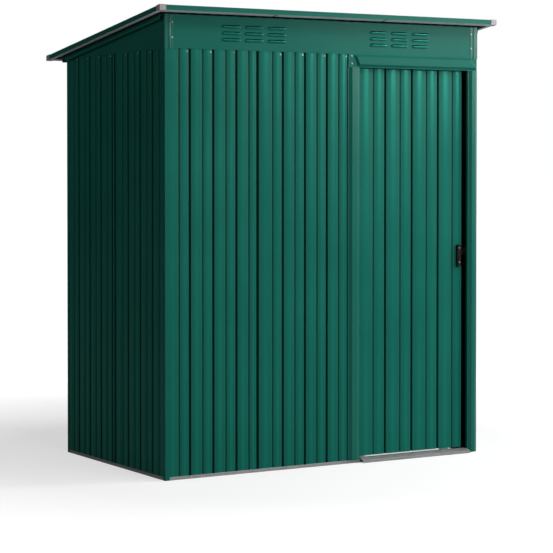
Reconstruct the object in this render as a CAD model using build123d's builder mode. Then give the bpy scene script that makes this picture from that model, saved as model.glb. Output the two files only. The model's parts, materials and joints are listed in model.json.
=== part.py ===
from build123d import *
import math
import os

os.makedirs("parts", exist_ok=True)

# A lean-to shed of ribbed steel sheets with one sliding door.
# Millimetres, Z up, front towards -Y, origin on the ground under the middle of the roof.

# Walls
wall_width = 1520
wall_depth = 898
wall_height = 1698
fascia_lap = 3
gable_lap = 3
front_seam = 422.5
side_seam = 444
back_sheet_count = 3

# Sheet metal, and the gap left where two strips nearly meet
sheet = 1.0
strip = 1.2
fit_gap = 0.3

# Ribs rolled into the wall and door sheets
rib_pitch = 106
rib_depth = 9
rib_mouth = 11
rib_floor = 4
groove_depth = 2.5
groove_mouth = 8
groove_floor = 2.5
groove_after_rib = 58
crown_rise = 1.5
first_rib = 112
rib_after_seam = 119
rib_edge_margin = 8
seam_half_lap = 2
wall_seam_half_floor = 3
wall_seam_flank = 3.5

# Roof
roof_rise_at_back = 25
roof_pitch = 8.2
front_overhang = 63
back_overhang = 87
side_overhang = 55
roof_sheet_count = 3
roof_rib_pitch = 53
roof_rib_depth = 17.5
roof_rib_mouth = 33
roof_rib_floor = 14
roof_seam_half_floor = 7
roof_seam_flank = 9.5
roof_trim_height = 20
roof_trim_flange = 25
cap_wall = 1.5
cap_length = 27
cap_height = 23

# Frame strips
corner_leg = 20
rail_width = 38
rail_lip = 13
rail_inner_lip = 16
top_rail_reach = 15
top_rail_inside = 20
top_rail_height = 20
brace_height = 35
brace_depth = 15
brace_front_clearance = 60
beam_height = 30
beam_width = 22

# Fascia with its pressed louvres
cover_width = 36
cover_leg = 12
bead_width = 8
bead_rise = 2.5
bead_inset = 12
louvre_length = 86
louvre_height = 13
louvre_point = 10
louvre_columns = 3
louvre_rows = 3
louvre_column_pitch = 106
louvre_row_pitch = 26
louvre_group_offset = 354
louvre_lip_arc = 115
louvre_lip = 1.0

# Door frame on the front wall
doorway_width = 558
left_jamb_width = 58
right_jamb_width = 48
header_height = 54
header_left_reach = 56
frame_rise = 9
frame_bevel = 12
frame_edge = 4
header_end_cut = 34
header_flat_end = 26
header_left_slant = 20
sheet_behind_jamb = 28

# Threshold
threshold_reach = 24
threshold_nose = 11
threshold_height = 18
threshold_inside = 14
threshold_end_gap = 2

# Sliding door
door_overlap_left = 30
door_overlap_right = 4
door_ajar = 18
door_setback = 20
door_bottom = 24
door_top_clearance = 5
door_rib_pitch = 136
door_first_rib_from_right = 125
door_groove_after_rib = 76
door_frame_width = 28
door_frame_depth = 12
slide_rail_drop = 43
slide_rail_web = 35
slide_rail_reach = 24
slide_rail_lip = 6
roller_diameter = 24
roller_width = 8
axle_diameter = 6
hanger_inset = 90
hanger_width = 30
hanger_thickness = 2
hanger_below = 30
running_clearance = 0.3
guide_inset = 80
guide_length = 40
guide_wall = 3.5
guide_side_clearance = 1.0
guide_ground_clearance = 5.5
handle_width = 21
handle_length = 95
handle_depth = 12
handle_inset = 9
handle_level = 850

# Places worked out from the sizes above
roof_width = wall_width + 2 * side_overhang
roof_depth = front_overhang + wall_depth + back_overhang
roof_left = -roof_width / 2
roof_front = -roof_depth / 2
roof_back = roof_depth / 2
left = -wall_width / 2
right = wall_width / 2
front = roof_front + front_overhang
back = front + wall_depth
fall = math.tan(math.radians(roof_pitch))
slope = Vector(0, 1, -fall).normalized()
slope_factor = math.hypot(1, fall)
roof_top_front = wall_height + roof_rise_at_back + fall * (front_overhang + wall_depth)
skin = strip + crown_rise
wall_build = skin + rib_depth + 2 * sheet
roof_skin = strip * slope_factor
roof_build = roof_skin + roof_rib_depth + 2 * sheet
wall_seam = (wall_seam_half_floor, wall_seam_flank)
roof_seam = (roof_seam_half_floor, roof_seam_flank)
sheet_corner_gap = wall_build / 2
doorway_right = wall_width - right_jamb_width
doorway_left = doorway_right - doorway_width

# Each wall is drawn from its left end as seen from outside: x along it, y inwards, z up
front_wall = Plane(origin=(left, front, 0), x_dir=(1, 0, 0), z_dir=(0, 0, 1))
left_wall = Plane(origin=(left, back, 0), x_dir=(0, -1, 0), z_dir=(0, 0, 1))
back_wall = Plane(origin=(right, back, 0), x_dir=(-1, 0, 0), z_dir=(0, 0, 1))
front_face = Plane(origin=(left, front, 0), x_dir=(1, 0, 0), z_dir=(0, -1, 0))


def roof_top(y):
    """Height of the roof's top plane at a place from front to back."""
    return roof_top_front - fall * (y - roof_front)


def roof_under(y):
    """Height at which the roof sheets rest on what carries them."""
    return roof_top(y) - roof_build


def finish(piece, name):
    """Name a finished piece and write it out."""
    piece.label = name
    export_step(piece, f"parts/{name}.step")


def mirrored(piece):
    """The same piece for the other side of the shed."""
    with BuildPart() as twin:
        mirror(piece, about=Plane.YZ)
    return twin.part


def folded_strip(plane, fold_line, length, side, direction=None):
    """A strip of sheet metal folded along a line of corners, drawn on its outer face."""
    with BuildPart() as folded:
        with BuildSketch(plane):
            with BuildLine():
                Polyline(*fold_line)
                offset(amount=strip, side=side)
            make_face()
        extrude(amount=length, dir=direction)
    return folded.part


def crown(start, end, level, rise):
    """The face between two grooves, slightly convex where it has a rise."""
    if rise > 0:
        SagittaArc((start, level), (end, level), -rise)
    else:
        Line((start, level), (end, level))


def skin_line(start, end, level, ribs, depth, rise, laps, seam_rib):
    """One face of a ribbed sheet; a lapped end lies on the floor of a seam rib shared with its neighbour."""
    lap_before, lap_after = laps
    half_floor, flank = seam_rib
    here = start
    if lap_before:
        seam = start + seam_half_lap
        here = seam + half_floor + flank
        floor = level + depth + sheet
        Polyline((start, floor), (seam + half_floor, floor), (here, level))
    for centre, rib, mouth, bottom in ribs:
        crown(here, centre - mouth / 2, level, rise)
        Polyline(
            (centre - mouth / 2, level),
            (centre - bottom / 2, level + rib),
            (centre + bottom / 2, level + rib),
            (centre + mouth / 2, level),
        )
        here = centre + mouth / 2
    if lap_after:
        seam = end - seam_half_lap
        shoulder = seam - half_floor - flank
        crown(here, shoulder, level, rise)
        floor = level + depth
        Polyline((shoulder, level), (seam - half_floor, floor), (end, floor))
    else:
        crown(here, end, level, rise)


def ribbed_sheet(plane, start, end, level, ribs, depth, rise, laps, seam_rib, length, direction=None):
    """A rolled sheet; its thickness is measured square to the wall or roof."""
    lap_before, lap_after = laps
    first = level + depth + sheet if lap_before else level
    last = level + depth if lap_after else level
    with BuildPart() as ribbed:
        with BuildSketch(plane):
            with BuildLine():
                skin_line(start, end, level, ribs, depth, rise, laps, seam_rib)
                skin_line(start, end, level + sheet, ribs, depth, rise, laps, seam_rib)
                Line((start, first), (start, first + sheet))
                Line((end, last), (end, last + sheet))
            make_face()
        extrude(amount=length, dir=direction)
    return ribbed.part


def wall_ribs(first, last_crown_end):
    """Deep ribs with a shallow groove between each two, as far as the sheet is wide."""
    ribs = [(first - rib_pitch + groove_after_rib, groove_depth, groove_mouth, groove_floor)]
    centre = first
    while centre + rib_mouth / 2 + rib_edge_margin < last_crown_end:
        ribs.append((centre, rib_depth, rib_mouth, rib_floor))
        groove = centre + groove_after_rib
        if groove + groove_mouth / 2 + rib_edge_margin < last_crown_end:
            ribs.append((groove, groove_depth, groove_mouth, groove_floor))
        centre += rib_pitch
    return ribs


def wall_sheet(wall, seam_before, seam_after, wall_end, top):
    """One sheet of a wall, between two seams, or from a corner to a seam."""
    start = sheet_corner_gap if seam_before is None else seam_before - seam_half_lap
    end = wall_end if seam_after is None else seam_after + seam_half_lap
    first = first_rib if seam_before is None else seam_before + rib_after_seam
    laps = (seam_before is not None, seam_after is not None)
    ribs = wall_ribs(first, end - seam_half_lap - sum(wall_seam) if laps[1] else end)
    plane = wall.offset(strip)
    length = top - strip
    return ribbed_sheet(plane, start, end, skin, ribs, rib_depth, crown_rise, laps, wall_seam, length)


def base_rail(wall, length, lip_end):
    """A channel on the ground with mitred ends, which the wall sheets stand in."""
    with BuildPart() as rail:
        with BuildSketch(wall):
            with BuildLine():
                Polyline(
                    (corner_leg, 0),
                    (length - corner_leg, 0),
                    (length - corner_leg, corner_leg),
                    (length - rail_width, rail_width),
                    (rail_width, rail_width),
                    (corner_leg, corner_leg),
                    close=True,
                )
            make_face()
        extrude(amount=strip)
        with BuildSketch(wall):
            with Locations((corner_leg, 0)):
                Rectangle(lip_end - corner_leg, strip, align=(Align.MIN, Align.MIN))
        extrude(amount=rail_lip)
        with BuildSketch(wall):
            with Locations((rail_width, rail_width - strip)):
                Rectangle(length - 2 * rail_width, strip, align=(Align.MIN, Align.MIN))
        extrude(amount=rail_inner_lip)
    return rail.part


# Base rails
finish(base_rail(front_wall, wall_width, doorway_right), "base_rail_front")
finish(base_rail(back_wall, wall_width, wall_width - corner_leg), "base_rail_back")
base_rail_left = base_rail(left_wall, wall_depth, wall_depth - corner_leg)
finish(base_rail_left, "base_rail_left")
finish(mirrored(base_rail_left), "base_rail_right")

# Wall sheets
front_sheet_top = wall_height + fascia_lap
left_seam = wall_depth - side_seam
front_sheet_end = doorway_left - sheet_behind_jamb
front_left_sheet = wall_sheet(front_wall, None, front_seam, wall_width, front_sheet_top)
finish(front_left_sheet, "front_wall_sheet_left")
front_right_sheet = wall_sheet(front_wall, front_seam, None, front_sheet_end, front_sheet_top)
finish(front_right_sheet, "front_wall_sheet_right")

side_end = wall_depth - sheet_corner_gap
side_back_sheet = wall_sheet(left_wall, None, left_seam, side_end, wall_height)
side_front_sheet = wall_sheet(left_wall, left_seam, None, side_end, wall_height)
finish(side_back_sheet, "left_wall_sheet_back")
finish(side_front_sheet, "left_wall_sheet_front")
finish(mirrored(side_back_sheet), "right_wall_sheet_back")
finish(mirrored(side_front_sheet), "right_wall_sheet_front")

back_end = wall_width - sheet_corner_gap
for index in range(back_sheet_count):
    seam_before = None if index == 0 else wall_width * index / back_sheet_count
    is_last = index == back_sheet_count - 1
    seam_after = None if is_last else wall_width * (index + 1) / back_sheet_count
    back_sheet = wall_sheet(back_wall, seam_before, seam_after, back_end, wall_height)
    finish(back_sheet, f"back_wall_sheet_{index + 1}")

# Corner posts: angles that close the sheets' free edges
front_corner = [(left + corner_leg, front), (left, front), (left, front + corner_leg)]
back_corner = [(left, back - corner_leg), (left, back), (left + corner_leg, back)]
gable_bottom = wall_height - gable_lap
front_left_post = folded_strip(Plane.XY, front_corner, gable_bottom, Side.RIGHT)
back_left_post = folded_strip(Plane.XY, back_corner, gable_bottom, Side.RIGHT)
finish(front_left_post, "corner_post_front_left")
finish(back_left_post, "corner_post_back_left")
finish(mirrored(back_left_post), "corner_post_back_right")

# Sloping rails under the roof's sides: channels open downwards over the gable plates
top_rail_front = front + strip + cover_leg
top_rail_plane = Plane(
    origin=(left, top_rail_front, roof_under(top_rail_front)), x_dir=(1, 0, 0), z_dir=(0, 1, 0)
)
top_rail_folds = [
    (-top_rail_reach, top_rail_height),
    (-top_rail_reach, 0),
    (top_rail_inside, 0),
    (top_rail_inside, top_rail_height),
]
top_rail_run = (back - wall_build - top_rail_front) * slope_factor
top_rail_left = folded_strip(top_rail_plane, top_rail_folds, top_rail_run, Side.LEFT, slope)
finish(top_rail_left, "top_rail_left")
finish(mirrored(top_rail_left), "top_rail_right")

# The angle along the top of the back wall, level, on top of the sheets
back_rail_top = roof_under(back + top_rail_reach)
back_rail_plane = Plane(
    origin=(left - top_rail_reach, back, back_rail_top), x_dir=(0, 1, 0), z_dir=(1, 0, 0)
)
back_rail_folds = [
    (top_rail_reach, -top_rail_height),
    (top_rail_reach, 0),
    (-wall_build, 0),
]
back_rail_length = wall_width + 2 * top_rail_reach
top_rail_back = folded_strip(back_rail_plane, back_rail_folds, back_rail_length, Side.LEFT)
finish(top_rail_back, "top_rail_back")

# Gable plates: smooth wedges between the side sheets and the roof
gable_back = back - wall_build
with BuildPart() as gable_left:
    with BuildSketch(Plane.YZ.offset(left)):
        with BuildLine():
            Polyline(
                (front + strip, gable_bottom),
                (front + strip, roof_under(front + strip) - strip),
                (gable_back, roof_under(gable_back) - strip),
                (gable_back, gable_bottom),
                close=True,
            )
        make_face()
    extrude(amount=strip)
finish(gable_left.part, "gable_left")
finish(mirrored(gable_left.part), "gable_right")

# One louvre: its slot in the fascia, and a hollow half-round lip with pointed ends
louvre_tip = louvre_length / 2
louvre_shoulder = louvre_tip - louvre_point
with BuildSketch() as louvre_slot:
    with BuildLine():
        Polyline(
            (-louvre_tip, 0),
            (-louvre_shoulder, -louvre_height / 2),
            (louvre_shoulder, -louvre_height / 2),
            (louvre_tip, 0),
        )
        mirror(about=Plane.XZ)
    make_face()
with BuildPart() as louvre_lip_piece:
    with BuildSketch() as lip_band:
        add(louvre_slot.sketch)
        offset(amount=-louvre_lip, mode=Mode.SUBTRACT)
        Rectangle(louvre_length, louvre_height, align=(Align.CENTER, Align.MIN), mode=Mode.SUBTRACT)
    extrude(lip_band.sketch, amount=-strip)
    revolve(lip_band.sketch, axis=Axis.X, revolution_arc=-louvre_lip_arc)

# Fascia over the door and the front sheets, with two groups of louvres open along their tops
fascia_top = roof_under(front + strip)
louvre_level = (wall_height + fascia_top) / 2
louvre_groups = [
    (wall_width / 2 - louvre_group_offset, louvre_level),
    (wall_width / 2 + louvre_group_offset, louvre_level),
]
louvre_grid = (louvre_column_pitch, louvre_row_pitch, louvre_columns, louvre_rows)
with BuildPart() as fascia:
    with BuildSketch(front_face):
        with Locations((0, wall_height)):
            Rectangle(wall_width, fascia_top - wall_height, align=(Align.MIN, Align.MIN))
        with Locations(*louvre_groups), GridLocations(*louvre_grid):
            add(louvre_slot.sketch, mode=Mode.SUBTRACT)
    extrude(amount=-strip)
    with Locations(front_face), Locations(*louvre_groups), GridLocations(*louvre_grid):
        add(louvre_lip_piece.part)
finish(fascia.part, "fascia")

# Strips with a bead that cover the fascia's ends
cover_top = roof_under(front + cover_leg)
bead_start = cover_width - bead_inset - bead_width
with BuildPart() as fascia_covers:
    with BuildSketch(Plane.XY.offset(gable_bottom)):
        with BuildLine():
            Polyline(
                (left + cover_width, front - strip),
                (left + cover_width - bead_inset, front - strip),
                (left + cover_width - bead_inset - bead_width / 2, front - strip - bead_rise),
                (left + bead_start, front - strip),
                (left - strip, front - strip),
                (left - strip, front + cover_leg),
            )
            offset(amount=strip, side=Side.RIGHT)
        make_face()
    extrude(amount=cover_top - gable_bottom)
    mirror(about=Plane.YZ)
finish(fascia_covers.part, "fascia_covers")

# Door frame: pressed trims with a raised, bevelled middle
frame_leg = wall_build
left_jamb_folds = [
    (doorway_left, frame_leg),
    (doorway_left, 0),
    (doorway_left - frame_edge, 0),
    (doorway_left - frame_edge - frame_bevel, -frame_rise),
    (doorway_left - left_jamb_width + frame_edge + frame_bevel, -frame_rise),
    (doorway_left - left_jamb_width + frame_edge, 0),
    (doorway_left - left_jamb_width, 0),
]
header_bottom = wall_height - header_height
jamb_left_plane = front_wall.offset(rail_lip)
door_jamb_left = folded_strip(jamb_left_plane, left_jamb_folds, header_bottom - rail_lip, Side.RIGHT)
finish(door_jamb_left, "door_jamb_left")

right_jamb_folds = [
    (doorway_right, frame_leg),
    (doorway_right, 0),
    (doorway_right + frame_edge, 0),
    (doorway_right + frame_edge + frame_bevel, -frame_rise),
    (wall_width - frame_edge - frame_bevel, -frame_rise),
    (wall_width - frame_edge, 0),
    (wall_width, 0),
    (wall_width, corner_leg),
]
with BuildPart() as door_jamb_right:
    add(folded_strip(front_wall.offset(strip), right_jamb_folds, header_bottom - strip, Side.LEFT))
    with BuildSketch(front_wall):
        with Locations((wall_width, strip)):
            Rectangle(strip, corner_leg - strip, align=(Align.MAX, Align.MIN))
    extrude(amount=gable_bottom)
finish(door_jamb_right.part, "door_jamb_right")

header_left = doorway_left - header_left_reach
header_right = wall_width - strip
bulge_left = header_left + header_flat_end
bulge_right = header_right - frame_edge
bulge_bottom = header_bottom + frame_edge
bulge_top = wall_height - strip
with BuildPart() as header_bulge:
    with BuildSketch(front_face):
        with BuildLine():
            Polyline(
                (bulge_left + header_left_slant, bulge_bottom),
                (bulge_right, bulge_bottom),
                (bulge_right, bulge_top - header_end_cut),
                (bulge_right - header_end_cut, bulge_top),
                (bulge_left, bulge_top),
                close=True,
            )
        make_face()
    extrude(amount=frame_rise, taper=45)
with BuildPart() as door_header:
    with BuildSketch(front_face):
        with Locations((header_left, header_bottom)):
            Rectangle(header_right - header_left, header_height, align=(Align.MIN, Align.MIN))
    extrude(amount=-strip)
    add(header_bulge.part)
    with Locations((0, strip, 0)):
        add(header_bulge.part, mode=Mode.SUBTRACT)
    with BuildSketch(front_face.offset(-strip)):
        with Locations((doorway_left, header_bottom)):
            Rectangle(doorway_width, strip, align=(Align.MIN, Align.MIN))
    extrude(amount=strip - frame_leg)
finish(door_header.part, "door_header")

# Threshold: a ramped cover over the base rail in the doorway
threshold_plane = Plane(
    origin=(left + doorway_left + threshold_end_gap, front, 0), x_dir=(0, 1, 0), z_dir=(1, 0, 0)
)
threshold_folds = [
    (-threshold_reach, 0),
    (-threshold_reach, threshold_nose),
    (-strip, threshold_height),
    (threshold_inside, threshold_height),
    (threshold_inside, strip),
]
threshold_length = doorway_width - 2 * threshold_end_gap
door_threshold = folded_strip(threshold_plane, threshold_folds, threshold_length, Side.RIGHT)
finish(door_threshold, "door_threshold")

# Slide rail: a hooked strip inside the front wall, which the door's rollers run on
slide_rail_level = wall_height - slide_rail_drop
slide_rail_length = wall_width - 2 * (wall_build + running_clearance)
slide_rail_plane = Plane(
    origin=(-slide_rail_length / 2, front + wall_build, slide_rail_level), x_dir=(0, 1, 0), z_dir=(1, 0, 0)
)
slide_rail_folds = [
    (0, slide_rail_web),
    (0, -strip),
    (slide_rail_reach, -strip),
    (slide_rail_reach, slide_rail_lip),
]
slide_rail = folded_strip(slide_rail_plane, slide_rail_folds, slide_rail_length, Side.LEFT)
finish(slide_rail, "door_slide_rail")

# Door leaf, drawn in the front wall's own directions
door_width = door_overlap_left + doorway_width + door_overlap_right
door_right_at_rest = doorway_right - door_ajar
door_left_at_rest = door_right_at_rest - door_width
door_top = slide_rail_level - strip - door_top_clearance
door_plane = front_wall.offset(door_bottom)
door_skin = door_setback + crown_rise
door_ribs = []
rib_centre = door_right_at_rest - door_first_rib_from_right
while rib_centre > door_left_at_rest + rib_mouth:
    groove_centre = rib_centre + door_groove_after_rib
    door_ribs.insert(0, (groove_centre, groove_depth, groove_mouth, groove_floor))
    door_ribs.insert(0, (rib_centre, rib_depth, rib_mouth, rib_floor))
    rib_centre -= door_rib_pitch
door_sheet = ribbed_sheet(
    door_plane,
    door_left_at_rest,
    door_right_at_rest,
    door_skin,
    door_ribs,
    rib_depth,
    crown_rise,
    (False, False),
    wall_seam,
    door_top - door_bottom,
)
finish(door_sheet, "door_sheet")

# Frame behind the door sheet: two stiles and two rails of channel, open towards the sheet
door_back = door_skin + rib_depth + sheet
door_frame_back = door_back + door_frame_depth
left_stile_folds = [
    (door_left_at_rest, door_back),
    (door_left_at_rest, door_frame_back),
    (door_left_at_rest + door_frame_width, door_frame_back),
    (door_left_at_rest + door_frame_width, door_back),
]
right_stile_folds = [
    (door_right_at_rest - door_frame_width, door_back),
    (door_right_at_rest - door_frame_width, door_frame_back),
    (door_right_at_rest, door_frame_back),
    (door_right_at_rest, door_back),
]
with BuildPart() as door_stiles:
    add(folded_strip(door_plane, left_stile_folds, door_top - door_bottom, Side.RIGHT))
    add(folded_strip(door_plane, right_stile_folds, door_top - door_bottom, Side.RIGHT))
finish(door_stiles.part, "door_stiles")

door_rail_plane = Plane(
    origin=(left + door_left_at_rest + door_frame_width, front, 0), x_dir=(0, 1, 0), z_dir=(1, 0, 0)
)
door_rail_length = door_width - 2 * door_frame_width
with BuildPart() as door_rails:
    for rail_bottom in (door_bottom, door_top - door_frame_width):
        rail_folds = [
            (door_back, rail_bottom),
            (door_frame_back, rail_bottom),
            (door_frame_back, rail_bottom + door_frame_width),
            (door_back, rail_bottom + door_frame_width),
        ]
        add(folded_strip(door_rail_plane, rail_folds, door_rail_length, Side.LEFT))
finish(door_rails.part, "door_rails")

# Hangers: straps up the door's back, each with an axle and a roller over the slide rail
roller_level = slide_rail_level + running_clearance + roller_diameter / 2
roller_middle = wall_build + (slide_rail_reach + strip) / 2
hanger_back = door_frame_back + hanger_thickness
hanger_bottom = door_top - hanger_below
hanger_top = roller_level + axle_diameter
hanger_places = (
    left + door_left_at_rest + hanger_inset,
    left + door_right_at_rest - hanger_inset,
)
with BuildPart() as door_hangers:
    for x in hanger_places:
        with Locations((x, front + door_frame_back, hanger_bottom)):
            Box(
                hanger_width,
                hanger_thickness,
                hanger_top - hanger_bottom,
                align=(Align.CENTER, Align.MIN, Align.MIN),
            )
        with BuildSketch(Plane.XZ.offset(-front - hanger_back)):
            with Locations((x, roller_level)):
                Circle(axle_diameter / 2)
        extrude(amount=hanger_back - roller_middle - roller_width / 2)
finish(door_hangers.part, "door_hangers")

with BuildPart() as door_rollers:
    for x in hanger_places:
        with BuildSketch(Plane.XZ.offset(-front - roller_middle - roller_width / 2)):
            with Locations((x, roller_level)):
                Circle(roller_diameter / 2)
        extrude(amount=roller_width)
finish(door_rollers.part, "door_rollers")

# Guides: forks under the door that straddle the base rail's inner lip
lip_middle = rail_width - strip / 2
fork_half_gap = strip / 2 + guide_side_clearance
fork_half = fork_half_gap + guide_wall
fork_bottom = strip + guide_ground_clearance
fork_roof = rail_inner_lip + guide_side_clearance
with BuildPart() as door_guides:
    for x in (
        left + door_left_at_rest + guide_inset - guide_length / 2,
        left + door_right_at_rest - guide_inset - guide_length / 2,
    ):
        with BuildSketch(Plane(origin=(x, front, 0), x_dir=(0, 1, 0), z_dir=(1, 0, 0))):
            with Locations((lip_middle, fork_bottom)):
                Rectangle(2 * fork_half, door_bottom - fork_bottom, align=(Align.CENTER, Align.MIN))
                Rectangle(
                    2 * fork_half_gap,
                    fork_roof - fork_bottom,
                    align=(Align.CENTER, Align.MIN),
                    mode=Mode.SUBTRACT,
                )
        extrude(amount=guide_length)
finish(door_guides.part, "door_guides")

# Handle: a moulded pull with rounded corners
handle_middle = left + door_right_at_rest - handle_inset - handle_width / 2
with BuildPart() as door_handle:
    with BuildSketch(Plane.XZ.offset(-front - door_setback)):
        with Locations((handle_middle, handle_level)):
            RectangleRounded(handle_width, handle_length, handle_width / 4)
    extrude(amount=handle_depth)
    handle_face = door_handle.faces().sort_by(Axis.Y)[0]
    fillet(handle_face.edges(), handle_depth / 5)
finish(door_handle.part, "door_handle")

# Braces halfway up inside the side and back walls
brace_level = wall_height / 2
brace_side_folds = [
    (wall_build, 0),
    (wall_build, brace_height),
    (wall_build + brace_depth, brace_height),
    (wall_build + brace_depth, 0),
]
brace_side_end = back - wall_build - brace_depth - fit_gap
brace_side_plane = Plane(
    origin=(left, brace_side_end, brace_level), x_dir=(1, 0, 0), z_dir=(0, -1, 0)
)
brace_side_length = brace_side_end - front - brace_front_clearance
brace_left = folded_strip(brace_side_plane, brace_side_folds, brace_side_length, Side.RIGHT)
brace_back_plane = Plane(
    origin=(left + wall_build, back, brace_level), x_dir=(0, -1, 0), z_dir=(-1, 0, 0)
)
brace_back_length = wall_width - 2 * wall_build
with BuildPart() as wall_braces:
    add(brace_left)
    add(mirrored(brace_left))
    add(folded_strip(brace_back_plane, brace_side_folds, -brace_back_length, Side.RIGHT))
finish(wall_braces.part, "wall_braces")

# Roof beam across the middle, between the sloping rails
beam_length = wall_width - 2 * top_rail_inside
beam_middle = (front + back) / 2
beam_top = roof_under(beam_middle + beam_width / 2)
beam_plane = Plane(
    origin=(-beam_length / 2, beam_middle, beam_top), x_dir=(0, 1, 0), z_dir=(1, 0, 0)
)
beam_folds = [
    (-beam_width / 2, -beam_height),
    (-beam_width / 2, 0),
    (beam_width / 2, 0),
    (beam_width / 2, -beam_height),
]
roof_beam = folded_strip(beam_plane, beam_folds, beam_length, Side.RIGHT)
finish(roof_beam, "roof_beam")

# Roof sheets, lapped like the walls, under a trim on every edge
roof_sheet_front = roof_front + strip
roof_plane = Plane(
    origin=(roof_left, roof_sheet_front, roof_top(roof_sheet_front)), x_dir=(1, 0, 0), z_dir=(0, 1, 0)
)
roof_run = (roof_depth - 2 * strip) * slope_factor
roof_seam_step = round(roof_width / roof_sheet_count / roof_rib_pitch) * roof_rib_pitch
for index in range(roof_sheet_count):
    is_first = index == 0
    is_last = index == roof_sheet_count - 1
    seam_before = index * roof_seam_step
    seam_after = (index + 1) * roof_seam_step
    start = strip if is_first else seam_before - seam_half_lap
    end = roof_width - strip if is_last else seam_after + seam_half_lap
    ribs = []
    centre = seam_before + roof_rib_pitch
    while centre + roof_rib_mouth / 2 < (end if is_last else end - seam_half_lap - sum(roof_seam)):
        ribs.append((centre, roof_rib_depth, roof_rib_mouth, roof_rib_floor))
        centre += roof_rib_pitch
    laps = (not is_first, not is_last)
    roof_sheet = ribbed_sheet(
        roof_plane, start, end, roof_skin, ribs, roof_rib_depth, 0, laps, roof_seam, roof_run, slope
    )
    finish(roof_sheet, f"roof_sheet_{index + 1}")

# Roof trims: angles over the sheets' edges
eave_plane = Plane(origin=(roof_left, 0, 0), x_dir=(0, 1, 0), z_dir=(1, 0, 0))
front_trim_folds = [
    (roof_front, roof_top_front - roof_trim_height),
    (roof_front, roof_top_front),
    (roof_front + roof_trim_flange, roof_top(roof_front + roof_trim_flange)),
]
back_trim_folds = [
    (roof_back, roof_top(roof_back) - roof_trim_height),
    (roof_back, roof_top(roof_back)),
    (roof_back - roof_trim_flange, roof_top(roof_back - roof_trim_flange)),
]
roof_trim_front = folded_strip(eave_plane, front_trim_folds, roof_width, Side.RIGHT)
roof_trim_back = folded_strip(eave_plane, back_trim_folds, roof_width, Side.LEFT)
finish(roof_trim_front, "roof_trim_front")
finish(roof_trim_back, "roof_trim_back")

side_trim_start = roof_front + roof_trim_flange + fit_gap
side_trim_plane = Plane(
    origin=(roof_left, side_trim_start, roof_top(side_trim_start)), x_dir=(1, 0, 0), z_dir=(0, 1, 0)
)
side_trim_folds = [(0, roof_trim_height), (0, 0), (roof_trim_flange, 0)]
side_trim_run = (roof_depth - 2 * roof_trim_flange - 2 * fit_gap) * slope_factor
roof_trim_left = folded_strip(side_trim_plane, side_trim_folds, side_trim_run, Side.LEFT, slope)
finish(roof_trim_left, "roof_trim_left")
finish(mirrored(roof_trim_left), "roof_trim_right")


def corner_cap(edge, inwards):
    """A moulded cap over the left corner where two roof trims meet."""
    cap_run = slope * (inwards * cap_length * slope_factor)
    edge_plane = Plane(origin=(roof_left, edge, roof_top(edge)), x_dir=(1, 0, 0), z_dir=(0, -1, 0))
    with BuildPart() as cap:
        with BuildSketch(edge_plane):
            with BuildLine():
                Polyline(
                    (-cap_wall, cap_wall - cap_height),
                    (-cap_wall, cap_wall),
                    (cap_length, cap_wall),
                    (cap_length, 0),
                    (0, 0),
                    (0, cap_wall - cap_height),
                    close=True,
                )
            make_face()
        extrude(amount=cap_run.length, dir=cap_run.normalized())
        with BuildSketch(edge_plane):
            with Locations((-cap_wall, cap_wall)):
                Rectangle(cap_length + cap_wall, cap_height, align=(Align.MIN, Align.MAX))
        extrude(amount=cap_wall * inwards)
    return cap.part


front_cap = corner_cap(roof_front, 1)
back_cap = corner_cap(roof_back, -1)
with BuildPart() as roof_corner_caps:
    for cap in (front_cap, back_cap):
        add(cap)
        add(mirrored(cap))
finish(roof_corner_caps.part, "roof_corner_caps")
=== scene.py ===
# %% [markdown]
# # A ribbed steel storage shed
# The shed is a kit of thin painted sheets screwed to folded strips.
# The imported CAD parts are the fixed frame: they say where every piece goes, in metres.
# This lesson rolls the ribbed sheets again with softly rounded bends, folds the flange under the
# eaves, presses the louvres, adds the screws, paints everything, and sets up the studio.

# %% Load the frame
import json
import math
from functools import partial

import bpy
from mathutils import Matrix, Vector

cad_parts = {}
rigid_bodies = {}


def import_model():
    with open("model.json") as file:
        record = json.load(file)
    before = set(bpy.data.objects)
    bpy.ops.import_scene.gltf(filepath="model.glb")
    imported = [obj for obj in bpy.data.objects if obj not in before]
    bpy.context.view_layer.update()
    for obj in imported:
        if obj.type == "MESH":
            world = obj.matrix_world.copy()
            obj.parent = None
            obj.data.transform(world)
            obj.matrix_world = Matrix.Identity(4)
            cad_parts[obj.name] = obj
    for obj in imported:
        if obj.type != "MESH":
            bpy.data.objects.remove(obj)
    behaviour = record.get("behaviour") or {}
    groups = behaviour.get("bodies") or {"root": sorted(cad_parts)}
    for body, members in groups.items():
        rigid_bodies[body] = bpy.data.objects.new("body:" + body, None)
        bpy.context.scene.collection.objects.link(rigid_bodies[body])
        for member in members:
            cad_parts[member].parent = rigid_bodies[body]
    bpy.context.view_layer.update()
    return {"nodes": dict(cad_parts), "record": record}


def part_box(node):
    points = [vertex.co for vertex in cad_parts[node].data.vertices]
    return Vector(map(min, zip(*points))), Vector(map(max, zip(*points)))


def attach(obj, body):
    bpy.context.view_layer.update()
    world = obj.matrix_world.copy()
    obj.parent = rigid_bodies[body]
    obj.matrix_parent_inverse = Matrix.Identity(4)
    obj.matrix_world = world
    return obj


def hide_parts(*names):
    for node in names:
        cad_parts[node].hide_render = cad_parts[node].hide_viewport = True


for leftover in list(bpy.data.objects):
    bpy.data.objects.remove(leftover)
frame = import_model()
cad = frame["nodes"]
scene = bpy.context.scene

# %% [markdown]
# ## Building node trees
# Geometry trees and material trees are both nodes joined by links, so one helper serves both.
# An input is given either a plain value or the output of another node.


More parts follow.
